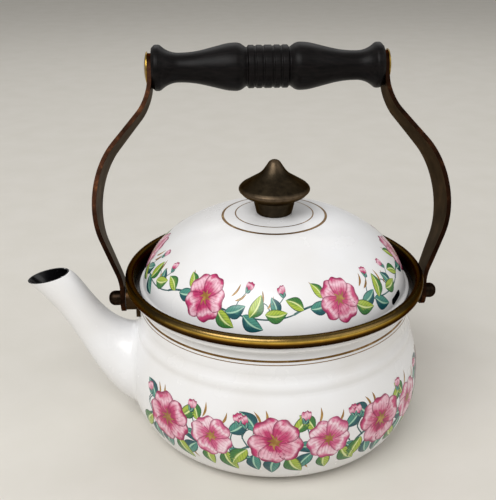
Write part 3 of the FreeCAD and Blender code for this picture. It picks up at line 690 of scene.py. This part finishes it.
def flat_patch(bm, columns, rows, kind, shape, place):
    """A flat patch of print: a grid that the shape function sets, from across (-1..1) and along (0..1)."""
    bm.loops.layers.uv.verify()
    verts = bmesh.ops.create_grid(bm, x_segments=columns, y_segments=rows, size=0.5, calc_uvs=True)["verts"]
    for vert in verts:
        x, y = shape(2 * vert.co.x, vert.co.y + 0.5)
        vert.co = Vector((x, y, 0))
    bmesh.ops.transform(bm, matrix=place, verts=verts)
    for face in {face for vert in verts for face in vert.link_faces}:
        face.material_index = kind


def laid(x, y, turn, layer):
    """Where a patch lies on the flat print: millimetres, degrees, and a layer over the enamel."""
    return Matrix.Translation(Vector((x, y, layer)) * MM) @ Matrix.Rotation(math.radians(turn), 4, "Z")


def petal(bm, length, width, kind, place):
    """A round petal, narrow at the throat, with a shallow notch in its tip."""
    def shape(across, along):
        half = 0.10 + 0.90 * math.sin(math.pi * min(0.04 + 0.80 * along ** 1.25, 1)) ** 0.8
        tip = along ** 3 * (0.10 * across ** 2 + 0.06 * math.cos(math.pi * across))
        return across * half * width / 2 * MM, length * (along - tip) * MM

    flat_patch(bm, 8, 9, kind, shape, place)


def leaf(bm, length, width, kind, place):
    """A plain pointed oval leaf, a little curved."""
    def shape(across, along):
        half = 0.03 + 0.97 * math.sin(math.pi * along ** 0.85) ** 0.9
        bow = 0.10 * length * math.sin(math.pi * along)
        return (across * half * width / 2 + bow) * MM, length * along * MM

    flat_patch(bm, 6, 10, kind, shape, place)


def stalk(bm, knots, width, kind, layer):
    """A tapered line along a smooth curve with four knots, in short steps to lie on the enamel."""
    points = [Vector((x, y, 0)) for x, y in knots]
    rows = STALK_ROWS + round((points[3] - points[0]).length / STALK_STEP)
    path = interpolate_bezier(*points, rows + 1)

    def shape(across, along):
        k = min(round(along * rows), rows)
        ahead = (path[min(k + 1, rows)] - path[max(k - 1, 0)]).normalized()
        point = path[k] + Vector((ahead.y, -ahead.x, 0)) * across * width / 2 * (1 - 0.4 * along)
        return point.x * MM, point.y * MM

    flat_patch(bm, 1, rows, kind, shape, Matrix.Translation((0, 0, layer * MM)))


def blossom(bm, x, y, radius, turn, kind, layer, draw):
    """Five round petals about a stamened eye."""
    for k in range(PETALS):
        angle = turn + PETAL_TURN * k + draw.uniform(-7, 7)
        size = radius * draw.uniform(0.92, 1.05)
        petal(bm, size, size * 1.06, kind, laid(x, y, angle, layer + PETAL_STEP * k))
    for k in range(STAMENS):
        angle = turn + 360 / STAMENS * k + draw.uniform(-9, 9)
        reach = radius * draw.uniform(0.26, 0.40)
        leaf(bm, reach, radius * 0.07, STAMEN, laid(x, y, angle, layer + STAMEN_STEP))
    for k in range(EYE_PARTS):
        angle = turn + 360 / EYE_PARTS * k
        petal(bm, radius * 0.17, radius * 0.19, STAMEN, laid(x, y, angle, layer + EYE_STEP))


def bud(bm, x, y, length, turn, kind, layer):
    """A closed bud of two petals in a green cup."""
    petal(bm, length, length * 0.55, kind, laid(x, y, turn - 9, layer))
    petal(bm, length * 0.92, length * 0.42, kind, laid(x, y, turn + 12, layer + PETAL_STEP))
    for lean in (-28, 28):
        leaf(bm, length * 0.5, length * 0.24, LEAF_B, laid(x, y, turn + lean, layer + 2 * PETAL_STEP))


def foliage(bm, at, leaves, draw):
    """Leaves about a stem, light ones over dark ones, each turned a little by chance."""
    for x, y, turn, length, kind in leaves:
        turn += draw.uniform(-9, 9)
        layer = LEAF_LAYER + LEAF_STEP * (kind == LEAF_A)
        leaf(bm, length, length * 0.60, kind, laid(at + x, y, turn, layer))


def stalked_buds(bm, at, buds, sway, width, length):
    """Buds on thin stalks that sway to one side."""
    for x, y, top_x, top_y, lean in buds:
        knots = [(at + x, y), (at + x - sway[0], y + 6), (at + top_x - sway[1], top_y - 4),
                 (at + top_x, top_y)]
        stalk(bm, knots, width, STEM, TWIG_LAYER)
        bud(bm, at + top_x, top_y, length, lean, PETAL_A, BUD_LAYER)


def grass(bm, at, blades, draw):
    """Thin ochre blades of grass."""
    for x, y, length, turn in blades:
        turn += draw.uniform(-8, 8)
        leaf(bm, length, BLADE_WIDTH, STAMEN, laid(at + x, y, turn, TWIG_LAYER))


def tendril(bm, x, y, side, size):
    """A thin stem that curls over to one side."""
    knots = [(x, y), (x + side * size * 0.1, y + size), (x + side * size, y + size * 1.1),
             (x + side * size * 0.8, y + size * 0.4)]
    stalk(bm, knots, TENDRIL_WIDTH, STEM, TWIG_LAYER)


def belly_sprig(bm, at, draw):
    """One repeat of the garland on the belly: two blossoms, buds, leaves and blades on a waving stem."""
    stalk(bm, [(at - 35, -6), (at - 16, 10), (at + 14, -20), (at + 35, -6)], 1.5, STEM, STEM_LAYER)
    foliage(bm, at, (
        (-31, -5, 150, 17, LEAF_A), (-27, -8, -168, 15, LEAF_B), (-26, 8, 48, 15, LEAF_B),
        (-14, -9, 172, 17, LEAF_B), (-7, -9, -142, 18, LEAF_A), (-4, 7, -38, 14, LEAF_A),
        (-2, -2, -96, 13, LEAF_B), (7, -8, 140, 16, LEAF_B), (15, -9, -178, 15, LEAF_A),
        (25, -8, -150, 18, LEAF_A), (28, -6, -112, 14, LEAF_B), (28, 5, -42, 15, LEAF_B),
        (8, 8, 34, 13, LEAF_A),
    ), draw)
    buds = ((2, -2, 2, 12, -14), (31, -5, 34, 10, 10), (-30, -4, -32, 9, 18))
    stalked_buds(bm, at, buds, (4, 4), 0.9, 8.5)
    grass(bm, at, (
        (-23, 11, 10, 22), (-20, 13, 8, 4), (11, 11, 10, -16), (23, 9, 9, -28), (0, -14, 10, 172),
        (3, -13, 9, -160), (33, -12, 10, 158),
    ), draw)
    tendril(bm, at + 5, 5, -1, 9)
    tendril(bm, at - 34, 2, 1, 8)
    blossom(bm, at - 15, 1, 16.5, draw.uniform(0, PETAL_TURN), PETAL_A, BLOSSOM_LAYER, draw)
    blossom(bm, at + 17, 0, 14.0, draw.uniform(0, PETAL_TURN), PETAL_B, BLOSSOM_LAYER, draw)


def lid_sprig(bm, at, draw):
    """One repeat of the lighter garland on the lid: a blossom, buds, leaves and blades on a waving stem."""
    stalk(bm, [(at - 43, -3), (at - 18, 10), (at + 14, -13), (at + 43, -3)], 1.2, STEM, STEM_LAYER)
    foliage(bm, at, (
        (-37, -1, 62, 12, LEAF_A), (-33, -1, -76, 13, LEAF_B), (-24, 4, 40, 11, LEAF_A),
        (-3, -3, -118, 14, LEAF_A), (2, -4, -62, 13, LEAF_B), (13, -4, -122, 14, LEAF_B),
        (17, -5, -20, 14, LEAF_A), (26, -3, -78, 13, LEAF_A), (33, -4, 22, 11, LEAF_B),
    ), draw)
    stalked_buds(bm, at, ((9, -4, 13, 8, -24), (34, -4, 37, 6, 16)), (2, 3), 0.8, 7.5)
    grass(bm, at, (
        (-27, 6, 9, 24), (4, 5, 9, -30), (7, 3, 8, -48), (23, 0, 10, -8), (27, 0, 8, -26),
    ), draw)
    tendril(bm, at + 29, -3, -1, 7)
    blossom(bm, at - 13, 2, 13.5, draw.uniform(0, PETAL_TURN), PETAL_A, BLOSSOM_LAYER, draw)


def garland(name, sprig, repeats, pitch, surface, centre, radius, tilt, start, body, seed):
    """A row of sprigs drawn flat, then wrapped onto the enamel."""
    draw = random.Random(seed)
    bm = bmesh.new()
    for k in range(repeats):
        sprig(bm, (k + 0.5) * pitch, draw)
    for vert in bm.verts:
        azimuth = start + vert.co.x / (radius * MM)
        elevation = tilt + vert.co.y / (radius * MM)
        vert.co = skin_point(surface, centre, azimuth, elevation, vert.co.z)
    piece(name, bm, body, PRINTS)


# The belly's garland leaves the spout clear; the lid's goes all round, with the vent between two sprigs
BELLY_R = 94.8
BELLY_CENTRE_Z = 38
SPOUT_CLEAR = math.radians(32)
BELLY_REPEATS = 7
belly_run = (FULL_TURN - 2 * SPOUT_CLEAR) * BELLY_R
garland("belly_garland", belly_sprig, BELLY_REPEATS, belly_run / BELLY_REPEATS, pot_surface,
        centre=UP * BELLY_CENTRE_Z * MM, radius=BELLY_R, tilt=0.0, start=-math.pi + SPOUT_CLEAR,
        body="kettle", seed=4)
LID_BAND_R = 82.0
LID_CENTRE_Z = 78
LID_TILT = math.radians(26)
LID_START = math.radians(-86)
LID_REPEATS = 6
lid_run = FULL_TURN * LID_BAND_R
garland("lid_garland", lid_sprig, LID_REPEATS, lid_run / LID_REPEATS, lid_surface,
        centre=UP * LID_CENTRE_Z * MM, radius=LID_BAND_R, tilt=LID_TILT, start=LID_START,
        body="lid", seed=9)


# Floor, light and camera

# Gap under the base, so that its face and the floor don't coincide
FLOOR_GAP = 0.05


def stage_floor():
    # Matt pale paper, slightly warm
    material, tree, shader = new_material("pale_floor_paper", Roughness=0.9)
    place = add(tree, "TexCoord").outputs["Object"]
    fibre = add(tree, "TexNoise", {"Vector": place, "Scale": 1 / (40 * MM), "Detail": 4.0})
    tone = add(tree, "ValToRGB", {"Fac": fibre.outputs["Fac"]}, [(0.3, "#D9D5CC"), (0.7, "#DDD9D1")])
    wire(tree, shader, Base_Color=tone.outputs["Color"])
    bm = bmesh.new()
    bmesh.ops.create_circle(bm, cap_ends=True, segments=96, radius=12)
    bmesh.ops.translate(bm, verts=bm.verts, vec=(0, 0, -FLOOR_GAP * MM))
    mesh = bpy.data.meshes.new("floor")
    bm.to_mesh(mesh)
    bm.free()
    mesh.materials.append(material)
    floor = bpy.data.objects.new("floor", mesh)
    bpy.context.scene.collection.objects.link(floor)


def soft_light(name, place, aim, width, height, watts):
    """A rectangular lamp at a place, turned to its aim, with lengths in metres."""
    lamp = bpy.data.lights.new(name, "AREA")
    lamp.shape = "RECTANGLE"
    lamp.size = width
    lamp.size_y = height
    lamp.energy = watts
    obj = bpy.data.objects.new(name, lamp)
    obj.location = place
    obj.rotation_euler = (Vector(aim) - Vector(place)).to_track_quat("-Z", "Y").to_euler()
    bpy.context.scene.collection.objects.link(obj)


def room():
    """Even grey light from all round; the camera sees a pale room."""
    world = bpy.data.worlds.new("room")
    bpy.context.scene.world = world
    world.use_nodes = True
    tree = world.node_tree
    tree.nodes["Background"].inputs["Color"].default_value = srgb("#DDDCDA")
    tree.nodes["Background"].inputs["Strength"].default_value = 0.50


def photo_camera():
    """The camera as fitted to the photo: its lens, its place and aim in metres, and a slight roll."""
    data = bpy.data.cameras.new("photo_camera")
    data.sensor_width = 36.0
    data.lens = 61.548
    camera = bpy.data.objects.new("photo_camera", data)
    place = Vector((-0.0392286, -0.4984465, 0.3371041))
    aim = Vector((-0.0165247, 0.0, 0.1184315))
    level = (aim - place).to_track_quat("-Z", "Y").to_matrix().to_4x4()
    roll = Matrix.Rotation(math.radians(-0.302), 4, "Z")
    camera.matrix_world = Matrix.Translation(place) @ level @ roll
    bpy.context.scene.collection.objects.link(camera)
    bpy.context.scene.camera = camera


stage_floor()
soft_light("key_window", (-0.56, -0.80, 1.22), aim=(0, 0, 0.1), width=1.1, height=0.8, watts=15.6)
soft_light("fill_panel", (1.0, -0.45, 0.85), aim=(0, 0, 0.1), width=1.0, height=1.0, watts=3.0)
soft_light("back_panel", (0.1, 1.1, 1.15), aim=(0, 0, 0.12), width=1.6, height=0.8, watts=5.0)
room()
photo_camera()
bpy.context.scene.view_settings.view_transform = "Standard"
